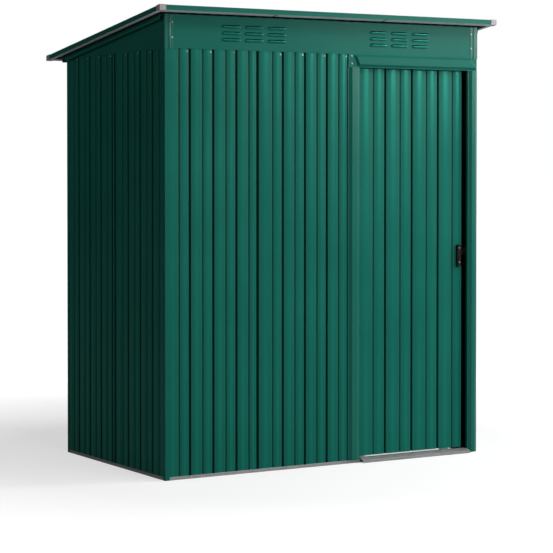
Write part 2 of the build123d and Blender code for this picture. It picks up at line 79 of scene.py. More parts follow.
# %% Node helpers
def add_node(tree, kind, inputs=None, **settings):
    """Add one node, set its options, and fill its inputs by name or number."""
    node = tree.nodes.new(kind)
    for name, value in settings.items():
        setattr(node, name, value)
    for name, value in (inputs or {}).items():
        if isinstance(value, bpy.types.NodeSocket):
            tree.links.new(value, node.inputs[name])
        else:
            node.inputs[name].default_value = value
    return node


def calculate(tree, operation, *values):
    """One Math node; returns its result."""
    return add_node(tree, "ShaderNodeMath", dict(enumerate(values)), operation=operation).outputs[0]


def combine(tree, **parts):
    """A vector made of named parts."""
    return add_node(tree, "ShaderNodeCombineXYZ", parts).outputs[0]


def split(tree, vector):
    """The parts of a vector, by name."""
    return add_node(tree, "ShaderNodeSeparateXYZ", {0: vector}).outputs


def join(tree, *shapes):
    """Shapes joined in the order given."""
    joined = add_node(tree, "GeometryNodeJoinGeometry")
    for shape in shapes:
        tree.links.new(shape, joined.inputs[0])
    return joined.outputs[0]


def rectangle(tree, width, height):
    """A rectangular outline round the origin."""
    size = {"Width": width, "Height": height}
    return add_node(tree, "GeometryNodeCurvePrimitiveQuadrilateral", size).outputs[0]


def fill(tree, *outlines):
    """The area between outlines, as triangles."""
    curves = join(tree, *outlines)
    return add_node(tree, "GeometryNodeFillCurve", {"Curve": curves}, mode="TRIANGLES").outputs[0]


weld_distance = 0.00002


def weld(tree, shape):
    """A shape with the points that meet made one."""
    welding = {"Geometry": shape, "Distance": weld_distance}
    return add_node(tree, "GeometryNodeMergeByDistance", welding).outputs[0]


def mark(tree, shape, name, value, domain="POINT"):
    """A shape that stores a value under a name, for its paint to read."""
    marking = {"Geometry": shape, "Name": name, "Value": value}
    kind = "GeometryNodeStoreNamedAttribute"
    return add_node(tree, kind, marking, data_type="FLOAT", domain=domain).outputs[0]


def new_geometry_tree(name, inputs):
    """A geometry tree with named inputs; returns it, its input sockets and its two node helpers."""
    tree = bpy.data.node_groups.new(name, "GeometryNodeTree")
    tree.interface.new_socket("Seeds", in_out="INPUT", socket_type="NodeSocketGeometry")
    for label, kind in inputs.items():
        tree.interface.new_socket(label, in_out="INPUT", socket_type="NodeSocket" + kind)
    tree.interface.new_socket("Mesh", in_out="OUTPUT", socket_type="NodeSocketGeometry")
    given = tree.nodes.new("NodeGroupInput").outputs
    return tree, given, partial(add_node, tree), partial(calculate, tree)


def end_tree(tree, geometry, material):
    """Every tree ends alike: real geometry, smooth shading, one material."""
    real = add_node(tree, "GeometryNodeRealizeInstances", {"Geometry": geometry}).outputs[0]
    smooth = add_node(tree, "GeometryNodeSetShadeSmooth", {0: real}).outputs[0]
    done = add_node(tree, "GeometryNodeSetMaterial", {"Geometry": smooth, "Material": material})
    add_node(tree, "NodeGroupOutput", {0: done.outputs[0]})


# %% [markdown]
# ## From a tree to a plain mesh
# The export drops instances and wants plain meshes, so a tree is run on a throwaway host,
# its result is copied out, and the host is removed again.
# Sheet metal gets its thickness from Solidify, which keeps it even round each bend.
# The painted side faces out and the back is a near-black green, so the faces are sorted by which way
# they look: a tree draws its sheet with the inwards side towards y.

# %% Growing a piece
sharp_angle = math.radians(38)
inward_tilt = 0.05


def grow(name, tree, values, materials, seeds=(), thickness=0.0, place=Matrix()):
    """Run a tree and return its result as an object at the origin, with its place in its mesh."""
    host = bpy.data.objects.new("host", bpy.data.meshes.new("host"))
    host.data.from_pydata([tuple(seed) for seed in seeds], [], [])
    scene.collection.objects.link(host)
    modifier = host.modifiers.new("grow", "NODES")
    modifier.node_group = tree
    socket_id = {item.name: item.identifier for item in tree.interface.items_tree}
    for label, value in values.items():
        modifier[socket_id[label]] = value
    if thickness:
        solidify = host.modifiers.new("sheet", "SOLIDIFY")
        solidify.thickness = thickness
        solidify.offset = -1
        solidify.use_even_offset = True
    evaluated = host.evaluated_get(bpy.context.evaluated_depsgraph_get())
    mesh = bpy.data.meshes.new_from_object(evaluated)
    bpy.data.objects.remove(host)
    mesh.name = name
    mesh.materials.clear()
    for material in materials:
        mesh.materials.append(material)
    if len(materials) > 1:
        for face in mesh.polygons:
            face.material_index = 1 if face.normal.y > inward_tilt else 0
    mesh.set_sharp_from_angle(angle=sharp_angle)
    mesh.transform(place)
    if place.determinant() < 0:
        mesh.flip_normals()
    piece = bpy.data.objects.new(name, mesh)
    scene.collection.objects.link(piece)
    return piece


# %% [markdown]
# ## Paint and coatings
# The outside is satin polyester paint on rolled steel: one even green that still varies a little,
# with faint orange peel and a very shallow waviness that bends reflections.
# All the greens share one recipe, since folded trims and rolled sheets are coated alike.


# %% Satin paint
def surface(name):
    """A new material; returns it with its tree, its shader and its object coordinates."""
    material = bpy.data.materials.new(name)
    material.use_nodes = True
    tree = material.node_tree
    shader = tree.nodes["Principled BSDF"]
    place = add_node(tree, "ShaderNodeTexCoord").outputs["Object"]
    return material, tree, shader, place


def noise(tree, place, scale, detail=2.0, roughness=0.5):
    """A noise pattern; scale is in repeats per metre."""
    inputs = {"Vector": place, "Scale": scale, "Detail": detail, "Roughness": roughness}
    return add_node(tree, "ShaderNodeTexNoise", inputs).outputs["Fac"]


low_colour, high_colour, blended_colour = 6, 7, 2


def blend(tree, factor, low, high):
    """Blend two colours by a pattern; each is three numbers or the output of another node."""
    inputs = {"Factor": factor}
    for socket, colour in ((low_colour, low), (high_colour, high)):
        linked = isinstance(colour, bpy.types.NodeSocket)
        inputs[socket] = colour if linked else (*colour, 1)
    return add_node(tree, "ShaderNodeMix", inputs, data_type="RGBA").outputs[blended_colour]


def ranged(tree, factor, low, high, start=0.3, end=0.7):
    """Spread the middle of a pattern over a range of values."""
    inputs = {"Value": factor, "From Min": start, "From Max": end, "To Min": low, "To Max": high}
    return add_node(tree, "ShaderNodeMapRange", inputs).outputs["Result"]


def bumps(tree, shader, *layers, edge=None):
    """Stack bump layers, each a pattern with its height in metres, over an eased edge."""
    normal = None
    if edge:
        normal = add_node(tree, "ShaderNodeBevel", {"Radius": edge}, samples=6).outputs[0]
    for pattern, height in layers:
        layer = add_node(tree, "ShaderNodeBump", {"Height": pattern, "Distance": height})
        if normal:
            tree.links.new(normal, layer.inputs["Normal"])
        normal = layer.outputs[0]
    tree.links.new(normal, shader.inputs["Normal"])


cloud_scale, fleck_scale, fleck_share = 3.0, 240.0, 0.3
wave_scale, wave_height = 5.0, 0.0012
peel_scale, peel_height = 700.0, 0.00004
dullness_spread = 0.03


def satin_paint(name, shade, deep, dullness, gloss):
    """Satin paint: a clouded, flecked green over shallow waves and orange peel."""
    material, tree, shader, place = surface(name)
    cloud = noise(tree, place, cloud_scale, 3.0)
    fleck = noise(tree, place, fleck_scale)
    clouded = calculate(tree, "MULTIPLY", cloud, 1.0 - fleck_share)
    both = calculate(tree, "MULTIPLY_ADD", fleck, fleck_share, clouded)
    tint = ranged(tree, both, 0.0, 1.0, 0.35, 0.65)
    satin = ranged(tree, cloud, dullness - dullness_spread, dullness + dullness_spread)
    tree.links.new(blend(tree, tint, deep, shade), shader.inputs["Base Color"])
    tree.links.new(satin, shader.inputs["Roughness"])
    shader.inputs["Specular IOR Level"].default_value = gloss
    peel = noise(tree, place, peel_scale, 1.0)
    wave = noise(tree, place, wave_scale, 1.0)
    bumps(tree, shader, (wave, wave_height), (peel, peel_height))
    return material


# %% [markdown]
# ## Painted shade in the folds, burnished crowns
# The folds are painted darker the deeper they go, as painted shade. The crowns and lips come out
# burnished, so they throw bright streaks in the paint's own green. The meshes carry both as
# attributes, fold and burnished, and only the paints of rolled and pressed pieces read them. The
# metallic part takes from the paint's own colour, so the green is raised by as much.

# %% Painted fold shade and burnish
burnished_metal = 0.32
burnished_roughness = 0.31
fold_painted_shade = 0.35
fold_start, fold_full = 0.03, 0.30


def stored(tree, name):
    """What a mesh stores under a name."""
    return add_node(tree, "ShaderNodeAttribute", attribute_name=name).outputs["Fac"]


def painted_fold_shade_and_burnish(material, deep, dullness):
    """Paint shade into a paint's folds and burnish it on the crowns, by the mesh's own attributes."""
    tree = material.node_tree
    shader = tree.nodes["Principled BSDF"]
    paint = shader.inputs["Base Color"].links[0].from_socket
    satin = shader.inputs["Roughness"].links[0].from_socket
    # The deeper a point lies in a fold, the darker its paint: this is painted shade.
    rib_shade_mask = ranged(tree, stored(tree, "fold"), 0.0, 1.0, fold_start, fold_full)
    shaded = blend(tree, rib_shade_mask, paint, [fold_painted_shade * channel for channel in deep])
    burnished = stored(tree, "burnished")
    metal = calculate(tree, "MULTIPLY", burnished, burnished_metal)
    kept = calculate(tree, "DIVIDE", 1.0, calculate(tree, "SUBTRACT", 1.0, metal))
    raised = {0: shaded, "Scale": kept}
    even = add_node(tree, "ShaderNodeVectorMath", raised, operation="SCALE")
    rubbed = calculate(tree, "MULTIPLY", burnished, dullness - burnished_roughness)
    tree.links.new(even.outputs[0], shader.inputs["Base Color"])
    tree.links.new(metal, shader.inputs["Metallic"])
    tree.links.new(calculate(tree, "SUBTRACT", satin, rubbed), shader.inputs["Roughness"])
    return material


sheet_greens = (0.0062, 0.128, 0.096), (0.0052, 0.114, 0.085)
trim_greens = (0.0066, 0.132, 0.099), (0.0055, 0.117, 0.088)
sheet_dullness = 0.46
trim_dullness = 0.42
paint_gloss = 0.08
edge_dullness, edge_gloss = 0.34, 0.22

green_sheet = satin_paint("green_sheet_paint", *sheet_greens, sheet_dullness, paint_gloss)
painted_fold_shade_and_burnish(green_sheet, sheet_greens[1], sheet_dullness)
green_pressed = satin_paint("green_pressed_paint", *trim_greens, trim_dullness, paint_gloss)
painted_fold_shade_and_burnish(green_pressed, trim_greens[1], trim_dullness)
green_trim = satin_paint("green_trim_paint", *trim_greens, trim_dullness, paint_gloss)
green_edge = satin_paint("green_edge_paint", *trim_greens, edge_dullness, edge_gloss)
print("paints:", [paint.name for paint in (green_sheet, green_pressed, green_trim, green_edge)])

# %% [markdown]
# ## Zinc, back coats and plastics
# Hot-dipped zinc shows dull crystals, so its roughness and tone follow a cell pattern.
# The back of each painted sheet is a near-black green; the roof trims show a pale undercoat where
# they face the ground. The handle, caps and rollers are moulded.

# %% Zinc and back coats
def zinc_coat(name, spangle_scale, low, high):
    """Hot-dipped zinc: crystals and blotches in both tone and roughness."""
    material, tree, shader, place = surface(name)
    cells = add_node(tree, "ShaderNodeTexVoronoi", {"Vector": place, "Scale": spangle_scale})
    crystal = add_node(tree, "ShaderNodeSeparateColor", {0: cells.outputs["Color"]}).outputs[0]
    blotch = noise(tree, place, 14.0, 4.0)
    tone = calculate(tree, "MULTIPLY_ADD", crystal, 0.5, calculate(tree, "MULTIPLY", blotch, 0.5))
    tree.links.new(blend(tree, tone, low, high), shader.inputs["Base Color"])
    tree.links.new(ranged(tree, tone, 0.38, 0.55, 0.2, 0.8), shader.inputs["Roughness"])
    shader.inputs["Metallic"].default_value = 0.75
    bumps(tree, shader, (blotch, 0.0002))
    return material


def back_coat(name, low, high):
    """A thin, dull, mottled coat."""
    material, tree, shader, place = surface(name)
    mottle = noise(tree, place, 9.0, 4.0)
    tree.links.new(blend(tree, mottle, low, high), shader.inputs["Base Color"])
    tree.links.new(ranged(tree, mottle, 0.5, 0.65), shader.inputs["Roughness"])
    shader.inputs["Specular IOR Level"].default_value = 0.3
    bumps(tree, shader, (noise(tree, place, 500.0, 1.0), 0.00003))
    return material


zinc = zinc_coat("galvanised_zinc", 160.0, (0.36, 0.355, 0.36), (0.48, 0.47, 0.475))
bright_zinc = zinc_coat("screw_zinc", 900.0, (0.28, 0.35, 0.33), (0.36, 0.43, 0.41))
back_greens = (0.006, 0.020, 0.016), (0.009, 0.027, 0.022)
dark_back = back_coat("sheet_back_coat", *back_greens)

pale_greys = (0.80, 0.78, 0.79), (0.92, 0.90, 0.91)
undercoat_scale = 30.0
downward = -0.7


def show_undercoat(material):
    """Leave a paint off the flanges that face the ground, where its pale undercoat shows."""
    tree = material.node_tree
    shader = tree.nodes["Principled BSDF"]
    place = add_node(tree, "ShaderNodeTexCoord").outputs["Object"]
    normal = add_node(tree, "ShaderNodeNewGeometry").outputs["Normal"]
    below = calculate(tree, "LESS_THAN", split(tree, normal)["Z"], downward)
    paint = shader.inputs["Base Color"].links[0].from_socket
    pale = blend(tree, noise(tree, place, undercoat_scale), *pale_greys)
    tree.links.new(blend(tree, below, paint, pale), shader.inputs["Base Color"])


flange_coat = back_coat("flange_undercoat", *pale_greys)
roof_trim = satin_paint("roof_trim_paint", *trim_greens, trim_dullness, paint_gloss)
show_undercoat(roof_trim)
print("coats:", [coat.name for coat in (zinc, bright_zinc, dark_back, flange_coat, roof_trim)])


# %% Moulded plastics
grain_scale = 1500.0
moulded_edge = 0.0008


def moulded(name, low, high, rough, gloss, grain):
    """Moulded plastic: mottled and finely grained, with eased edges."""
    material, tree, shader, place = surface(name)
    shader.inputs["Specular IOR Level"].default_value = gloss
    mottle = noise(tree, place, 60.0, 3.0)
    tree.links.new(blend(tree, mottle, low, high), shader.inputs["Base Color"])
    tree.links.new(ranged(tree, mottle, rough - 0.05, rough + 0.05), shader.inputs["Roughness"])
    bumps(tree, shader, (noise(tree, place, grain_scale), grain), edge=moulded_edge)
    return material


blacks = (0.004, 0.004, 0.0045), (0.008, 0.008, 0.0085)
greys = (0.30, 0.285, 0.29), (0.36, 0.34, 0.345)
whites = (0.70, 0.69, 0.66), (0.78, 0.77, 0.74)
black_plastic = moulded("black_moulding", *blacks, rough=0.45, gloss=0.15, grain=0.00005)
grey_plastic = moulded("grey_moulding", *greys, rough=0.55, gloss=0.4, grain=0.00004)
white_plastic = moulded("nylon_moulding", *whites, rough=0.45, gloss=0.5, grain=0.00003)
print("plastics:", [plastic.name for plastic in (black_plastic, grey_plastic, white_plastic)])

# %% [markdown]
# ## Finishing the frame's own nodes
# The folded strips keep their CAD shape. They are stored as loose triangles with knife-sharp folds,
# so live modifiers weld them, join their flat faces and round each fold a little: a real press brake
# never leaves a sharp corner, and the rounding is what catches the light.

# %% Dress the CAD nodes
finishes = {
    "green_sheet": green_sheet,
    "green_trim": green_trim,
    "galvanised_steel": zinc,
    "black_plastic": black_plastic,
    "grey_plastic": grey_plastic,
    "white_plastic": white_plastic,
}
node_slot = {part["node"]: part["material_slot"] for part in frame["record"]["subparts"]}
fold_rounding = 0.0005
same_place = 0.00001
flat_angle = math.radians(1)
fold_angle = math.radians(28)


def ease_folds(piece):
    """Weld, flatten and round the folds of a CAD node, without touching its mesh."""
    welded = piece.modifiers.new("weld", "WELD")
    welded.merge_threshold = same_place
    flatten = piece.modifiers.new("flatten", "DECIMATE")
    flatten.decimate_type = "DISSOLVE"
    flatten.angle_limit = flat_angle
    bevel = piece.modifiers.new("round", "BEVEL")
    bevel.width = fold_rounding
    bevel.segments = 2
    bevel.limit_method = "ANGLE"
    bevel.angle_limit = fold_angle
    bevel.harden_normals = False


own_finishes = dict.fromkeys(("fascia_covers", "door_jamb_left", "door_jamb_right"), green_edge)
for side in ("front", "back", "left", "right"):
    own_finishes["roof_trim_" + side] = roof_trim

for name, piece in cad.items():
    for slot in piece.material_slots:
        slot.material = own_finishes.get(name, finishes[node_slot[name]])
    ease_folds(piece)
print("dressed:", len(cad), "nodes")

# %% [markdown]
# ## Where the walls stand
# Each wall is worked in its own frame: x along it from its left end seen from outside,
# y inwards, z up. The corner posts give the walls' corners.

# %% Wall frames
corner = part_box("corner_post_front_left")[0]
left, front = corner.x, corner.y
right = -left
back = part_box("corner_post_back_left")[1].y


def wall_frame(origin, along):
    """A wall's own frame as a matrix: along it, inwards, up."""
    up = Vector((0, 0, 1))
    inwards = up.cross(along)
    rotation = Matrix((along, inwards, up)).transposed().to_4x4()
    return Matrix.Translation(origin) @ rotation


front_wall = wall_frame(Vector((left, front, 0)), Vector((1, 0, 0)))
left_wall = wall_frame(Vector((left, back, 0)), Vector((0, -1, 0)))
right_wall = Matrix.Diagonal((-1, 1, 1, 1)) @ left_wall
back_wall = wall_frame(Vector((right, back, 0)), Vector((-1, 0, 0)))


def box_on(wall, node):
    """A node's box in a wall's own frame."""
    turned = [wall.inverted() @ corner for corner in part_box(node)]
    low = Vector(map(min, *turned))
    high = Vector(map(max, *turned))
    return low, high


print("walls from", (left, front), "to", (right, back))

# %% [markdown]
# ## Rolled sheets
# A rolling mill folds the same ribs into a sheet again and again, so nodes make them by rule.
# Each fold is a row of points, one per rib. Joined in order of x they make the sheet's profile;
# the wide flats get a shallow crown, the folds get a real bend radius, and the line is drawn up
# into a sheet. Only the sheet's two edges, lapped or plain, are given as loose points.

# %% The rolling tree
crown_steps = 8
bend_steps = 4

roll_inputs = {
    "First Rib": "Float", "Ribs": "Int", "Pitch": "Float",
    "Rib Depth": "Float", "Rib Mouth": "Float", "Rib Floor": "Float",
    "First Groove": "Float", "Grooves": "Int",
    "Groove Depth": "Float", "Groove Mouth": "Float", "Groove Floor": "Float",
    "Crown Rise": "Float", "Bend Radius": "Float", "Run": "Vector",
    "Fold Shade": "Float", "Material": "Material",
}
roll_tree, given, add, maths = new_geometry_tree("rolled_sheet", roll_inputs)
step = combine(roll_tree, X=given["Pitch"])
rows = []
for kind, many in (("Rib", "Ribs"), ("Groove", "Grooves")):
    first = given["First " + kind]
    for width, depth in (("Mouth", 0.0), ("Floor", given[kind + " Depth"])):
        for side in (-0.5, 0.5):
            x = maths("MULTIPLY_ADD", given[f"{kind} {width}"], side, first)
            start = combine(roll_tree, X=x, Y=depth)
            row = {"Count": given[many], "Start Location": start, "Offset": step}
            rows.append(add("GeometryNodeMeshLine", row).outputs[0])

# %% The profile, strung in order of x
folds = join(roll_tree, given["Seeds"], *rows)
points = add("GeometryNodeMeshToPoints", {"Mesh": folds}).outputs[0]
position = add("GeometryNodeInputPosition").outputs[0]
where = split(roll_tree, position)
strung = {"Points": points, "Weight": where["X"]}
profile = add("GeometryNodePointsToCurves", strung).outputs[0]
number = add("GeometryNodeInputIndex").outputs[0]
numbered = add("GeometryNodeCaptureAttribute", domain="POINT")
numbered.capture_items.new("FLOAT", "Number")
roll_tree.links.new(profile, numbered.inputs[0])
roll_tree.links.new(number, numbered.inputs["Number"])

# %% Crowns on the flats
just_after = 0.001
on_face = maths("LESS_THAN", maths("ABSOLUTE", where["Y"]), same_place)
following = {"Index": maths("ADD", number, 1.0), "Value": on_face}
next_on_face = add("GeometryNodeFieldAtIndex", following, data_type="FLOAT").outputs[0]
is_flat = maths("MULTIPLY", on_face, next_on_face)
cuts = maths("MULTIPLY", is_flat, crown_steps - 1.0)
fine = add("GeometryNodeSubdivideCurve", {"Curve": numbered.outputs[0], "Cuts": cuts})
across = maths("FRACT", maths("ADD", numbered.outputs["Number"], just_after))
arch = maths("MULTIPLY", across, maths("SUBTRACT", 1.0, across))
is_fold = maths("LESS_THAN", across, 2 * just_after)
bulge = maths("MULTIPLY", arch, maths("MULTIPLY", given["Crown Rise"], -4.0))
on_crown = maths("MULTIPLY", on_face, maths("SUBTRACT", 1.0, is_fold))
lift = combine(roll_tree, Y=maths("MULTIPLY", bulge, on_crown))
ridge = maths("SUBTRACT", maths("MULTIPLY", arch, 16.0), 3.0)
worn = maths("MULTIPLY", maths("MAXIMUM", ridge, 0.0), on_crown)
marked = mark(roll_tree, fine.outputs[0], "burnished", worn)
raised = {"Geometry": marked, "Offset": lift}
crowned = add("GeometryNodeSetPosition", raised).outputs[0]

# %% Bends, then the sheet
bend = maths("MULTIPLY", is_fold, given["Bend Radius"])
rounding = {"Curve": crowned, "Radius": bend, "Count": bend_steps, "Limit Radius": True}
bent = add("GeometryNodeFilletCurve", rounding, mode="POLY").outputs[0]
edge = add("GeometryNodeCurveToMesh", {"Curve": bent}).outputs[0]
# The depth into each fold is stored as fold, and the paint darkens there as painted shade.
depth = maths("DIVIDE", where["Y"], given["Rib Depth"])
shade = maths("MULTIPLY", depth, given["Fold Shade"])
shaded = mark(roll_tree, weld(roll_tree, edge), "fold", shade)
drawing = {"Mesh": shaded, "Offset": given["Run"], "Offset Scale": 1.0}
drawn = add("GeometryNodeExtrudeMesh", drawing, mode="EDGES")
outward = add("GeometryNodeFlipFaces", {"Mesh": drawn.outputs["Mesh"]}).outputs[0]
end_tree(roll_tree, outward, given["Material"])
print("rolling tree:", len(roll_tree.nodes), "nodes")

# %% [markdown]
# ## The wall sheets
# The walls' ribs are 9 mm deep every 106 mm, with a shallow stiffening groove between.
# At a seam two sheets share the floor of one rib, and a plain edge hides behind a post or trim.

# %% Roll the wall sheets
sheet = 0.001
pitch = 0.106
rib_depth, rib_mouth, rib_floor = 0.009, 0.011, 0.004
groove_depth, groove_mouth, groove_floor = 0.0025, 0.008, 0.0025
groove_after_rib = 0.058
first_rib = 0.112
rib_after_seam = 0.119
edge_margin = 0.008
seam_half_lap = 0.002
wall_seam_half_floor, wall_seam_flank = 0.003, 0.0035
wall_seam_reach = seam_half_lap + wall_seam_half_floor + wall_seam_flank
crown_rise = 0.0015
bend_radius = 0.0014
wall_folds = {
    "Rib Depth": rib_depth, "Rib Mouth": rib_mouth, "Rib Floor": rib_floor,
    "Groove Depth": groove_depth, "Groove Mouth": groove_mouth, "Groove Floor": groove_floor,
    "Crown Rise": crown_rise, "Bend Radius": bend_radius,
    "Fold Shade": 1.0, "Material": green_sheet,
}


def how_many(first, spacing, mouth, limit):
    """How many folds fit before a sheet's last flat ends."""
    return int((limit - edge_margin - mouth / 2 - first) // spacing) + 1


def end_folds(x, inwards, lapped, floor, half_floor, flank):
    """The loose points of one edge: plain, or down into the shared floor of a seam."""
    if not lapped:
        return [(x, 0, 0)]
    foot = x + inwards * (seam_half_lap + half_floor)
    return [(x, floor, 0), (foot, floor, 0), (foot + inwards * flank, 0, 0)]


def roll_wall_sheet(node, wall, lapped_before, lapped_after):
    """Roll one wall sheet in the place of its CAD node; returns where its deep ribs are."""
    low, high = box_on(wall, node)
    start, end = low.x, high.x
    first = start + seam_half_lap + rib_after_seam if lapped_before else first_rib
    limit = end - wall_seam_reach if lapped_after else end
    first_groove = first - pitch + groove_after_rib
    ribs = how_many(first, pitch, rib_mouth, limit)
    seam_rib = (wall_seam_half_floor, wall_seam_flank)
    seeds = end_folds(start, 1, lapped_before, rib_depth + sheet, *seam_rib)
    seeds += end_folds(end, -1, lapped_after, rib_depth, *seam_rib)
    values = {
        **wall_folds, "First Rib": first, "Ribs": ribs, "Pitch": pitch,
        "First Groove": first_groove, "Grooves": how_many(first_groove, pitch, groove_mouth, limit),
        "Run": (0, 0, high.z - low.z),
    }
    place = wall @ Matrix.Translation((0, low.y + crown_rise, low.z))
    piece = grow(node + "_rolled", roll_tree, values, [green_sheet, dark_back], seeds, sheet, place)
    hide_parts(node)
    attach(piece, "shed")
    return [first + index * pitch for index in range(ribs)]


wall_plan = {
    "front_wall_sheet_left": (front_wall, False, True),
    "front_wall_sheet_right": (front_wall, True, False),
    "left_wall_sheet_back": (left_wall, False, True),
    "left_wall_sheet_front": (left_wall, True, False),
    "right_wall_sheet_back": (right_wall, False, True),
    "right_wall_sheet_front": (right_wall, True, False),
    "back_wall_sheet_1": (back_wall, False, True),
    "back_wall_sheet_2": (back_wall, True, True),
    "back_wall_sheet_3": (back_wall, True, False),
}
rib_places = {node: roll_wall_sheet(node, *plan) for node, plan in wall_plan.items()}
print("wall ribs:", {node: len(places) for node, places in rib_places.items()})

# %% [markdown]
# ## The door leaf
# The sliding door is one narrow sheet with the same ribs set wider apart, hung behind the front wall.
# It rides on the door body, so it slides with its frame, hangers and handle.

# %% Roll the door sheet
door_pitch = 0.136
door_first_rib_from_right = 0.125
door_groove_after_rib = 0.076

low, high = box_on(front_wall, "door_sheet")
door_ribs = int((high.x - door_first_rib_from_right - low.x - rib_mouth) // door_pitch) + 1
door_first_rib = high.x - door_first_rib_from_right - (door_ribs - 1) * door_pitch
values = {
    **wall_folds, "First Rib": door_first_rib, "Ribs": door_ribs, "Pitch": door_pitch,
    "First Groove": door_first_rib + door_groove_after_rib, "Grooves": door_ribs,
    "Run": (0, 0, high.z - low.z),
}
seeds = [(low.x, 0, 0), (high.x, 0, 0)]
place = front_wall @ Matrix.Translation((0, low.y + crown_rise, low.z))
coats = [green_sheet, dark_back]
door_leaf = grow("door_sheet_rolled", roll_tree, values, coats, seeds, sheet, place)
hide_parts("door_sheet")
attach(door_leaf, "door")
print("door ribs:", door_ribs, "faces:", len(door_leaf.data.polygons))

# %% [markdown]
# ## The roof sheets
# The roof has deep, close ribs that run down the slope. It uses the same tree, turned so that
# the rib depth points down, and drawn along the slope instead of straight up.
# Its painted side is on top. It bends more softly than the walls, and its folds get less painted
# shade.

# %% Roll the roof sheets
roof_pitch_angle = math.radians(8.2)
fall = math.tan(roof_pitch_angle)
roof_rib_pitch, roof_rib_depth = 0.053, 0.0175
roof_rib_mouth, roof_rib_floor = 0.033, 0.014
roof_seam_half_floor, roof_seam_flank = 0.007, 0.0095
roof_seam_reach = seam_half_lap + roof_seam_half_floor + roof_seam_flank
roof_bend_radius = 0.006
roof_fold_shade = 0.35
roof_count = 3

roof_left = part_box("roof_trim_front")[0].x
roof_width = -2 * roof_left
seam_step = round(roof_width / roof_count / roof_rib_pitch) * roof_rib_pitch
laid_flat = Matrix(((1, 0, 0), (0, 0, 1), (0, -1, 0))).to_4x4()

for index in range(roof_count):
    node = f"roof_sheet_{index + 1}"
    low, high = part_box(node)
    lapped_before, lapped_after = index > 0, index < roof_count - 1
    start, end = low.x - roof_left, high.x - roof_left
    limit = end - roof_seam_reach if lapped_after else end
    first = index * seam_step + roof_rib_pitch
    ribs = math.ceil((limit - roof_rib_mouth / 2 - first) / roof_rib_pitch)
    run = high.y - low.y
    values = {
        "First Rib": first, "Ribs": ribs, "Pitch": roof_rib_pitch,
        "Rib Depth": roof_rib_depth, "Rib Mouth": roof_rib_mouth, "Rib Floor": roof_rib_floor,
        "Grooves": 0, "Bend Radius": roof_bend_radius,
        "Run": (0, fall * run, run), "Fold Shade": roof_fold_shade, "Material": green_sheet,
    }
    seam_rib = (roof_seam_half_floor, roof_seam_flank)
    seeds = end_folds(start, 1, lapped_before, roof_rib_depth + sheet, *seam_rib)
    seeds += end_folds(end, -1, lapped_after, roof_rib_depth, *seam_rib)
    place = Matrix.Translation((roof_left, low.y, high.z)) @ laid_flat
    roof_piece = grow(node + "_rolled", roll_tree, values, coats, seeds, sheet, place)
    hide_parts(node)
    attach(roof_piece, "shed")
    print(node, "ribs:", ribs, "faces:", len(roof_piece.data.polygons))

# %% [markdown]
# ## The flange under the eaves
# Below the roof's edge each trim is folded in again, and its pale undercoat shows as a thin line.
# A rectangle inside a rectangle, filled between, is that flange; a shear lays it to the roof's slope.

# %% Fold the flange
flange_inputs = {
    "Width": "Float", "Depth": "Float",
    "Side Flange": "Float", "Eave Flange": "Float", "Material": "Material",
}
flange_tree, given, add, maths = new_geometry_tree("eave_flange", flange_inputs)
inner_width = maths("MULTIPLY_ADD", given["Side Flange"], -2.0, given["Width"])
inner_depth = maths("MULTIPLY_ADD", given["Eave Flange"], -2.0, given["Depth"])
outer = rectangle(flange_tree, given["Width"], given["Depth"])
inner = rectangle(flange_tree, inner_width, inner_depth)
end_tree(flange_tree, fill(flange_tree, outer, inner), given["Material"])

flange_sheet = 0.0006
strip = 0.0012
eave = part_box("roof_trim_front")[0]
values = {
    "Width": -2 * (eave.x + strip), "Depth": -2 * (eave.y + strip),
    "Side Flange": 0.020, "Eave Flange": 0.034, "Material": flange_coat,
}
slope = Matrix(((1, 0, 0), (0, 1, 0), (0, -fall, 1))).to_4x4()
place = Matrix.Translation((0, 0, eave.z + flange_sheet + fall * eave.y)) @ slope
flange = grow("eave_flange", flange_tree, values, [flange_coat], thickness=flange_sheet, place=place)
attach(flange, "shed")
print("flange faces:", len(flange.data.polygons))

# %% [markdown]
# ## The louvred fascia
# Each louvre is a slit whose lower edge is pressed out into a rounded lip, without tearing its ends.
# One formula gives both the slit's outline and the lip's size along it, so their edges meet point
# for point and weld into one sheet. The tree places them on a grid, twice, and fills the plate
# round them.

# %% Slit and lip outlines
outline_steps = 40
lip_steps = 10
tip_shape = 0.25

press_inputs = {
    "Width": "Float", "Height": "Float", "Slit Length": "Float", "Slit Height": "Float",
    "Columns": "Int", "Rows": "Int", "Column Pitch": "Float", "Row Pitch": "Float",
    "Group Offset": "Float", "Lip Arc": "Float", "Material": "Material",
}
press_tree, given, add, maths = new_geometry_tree("pressed_louvres", press_inputs)
half_length = maths("MULTIPLY", given["Slit Length"], 0.5)
half_height = maths("MULTIPLY", given["Slit Height"], 0.5)


def slit_length_at(cosine):
    """How far along the slit a point lies, squared off towards the tips."""
    size = maths("POWER", maths("ABSOLUTE", cosine), tip_shape)
    signed = maths("MULTIPLY", size, maths("SIGN", cosine))
    return maths("MULTIPLY", signed, half_length)


ring = add("GeometryNodeMeshCircle", {"Vertices": 2 * outline_steps, "Radius": 1.0})
here = add("GeometryNodeInputPosition").outputs[0]
on_ring = split(press_tree, here)
ring_y = maths("MULTIPLY", on_ring["Y"], half_height)
ring_at = combine(press_tree, X=slit_length_at(on_ring["X"]), Y=ring_y)
slit = add("GeometryNodeSetPosition", {"Geometry": ring.outputs[0], "Position": ring_at})

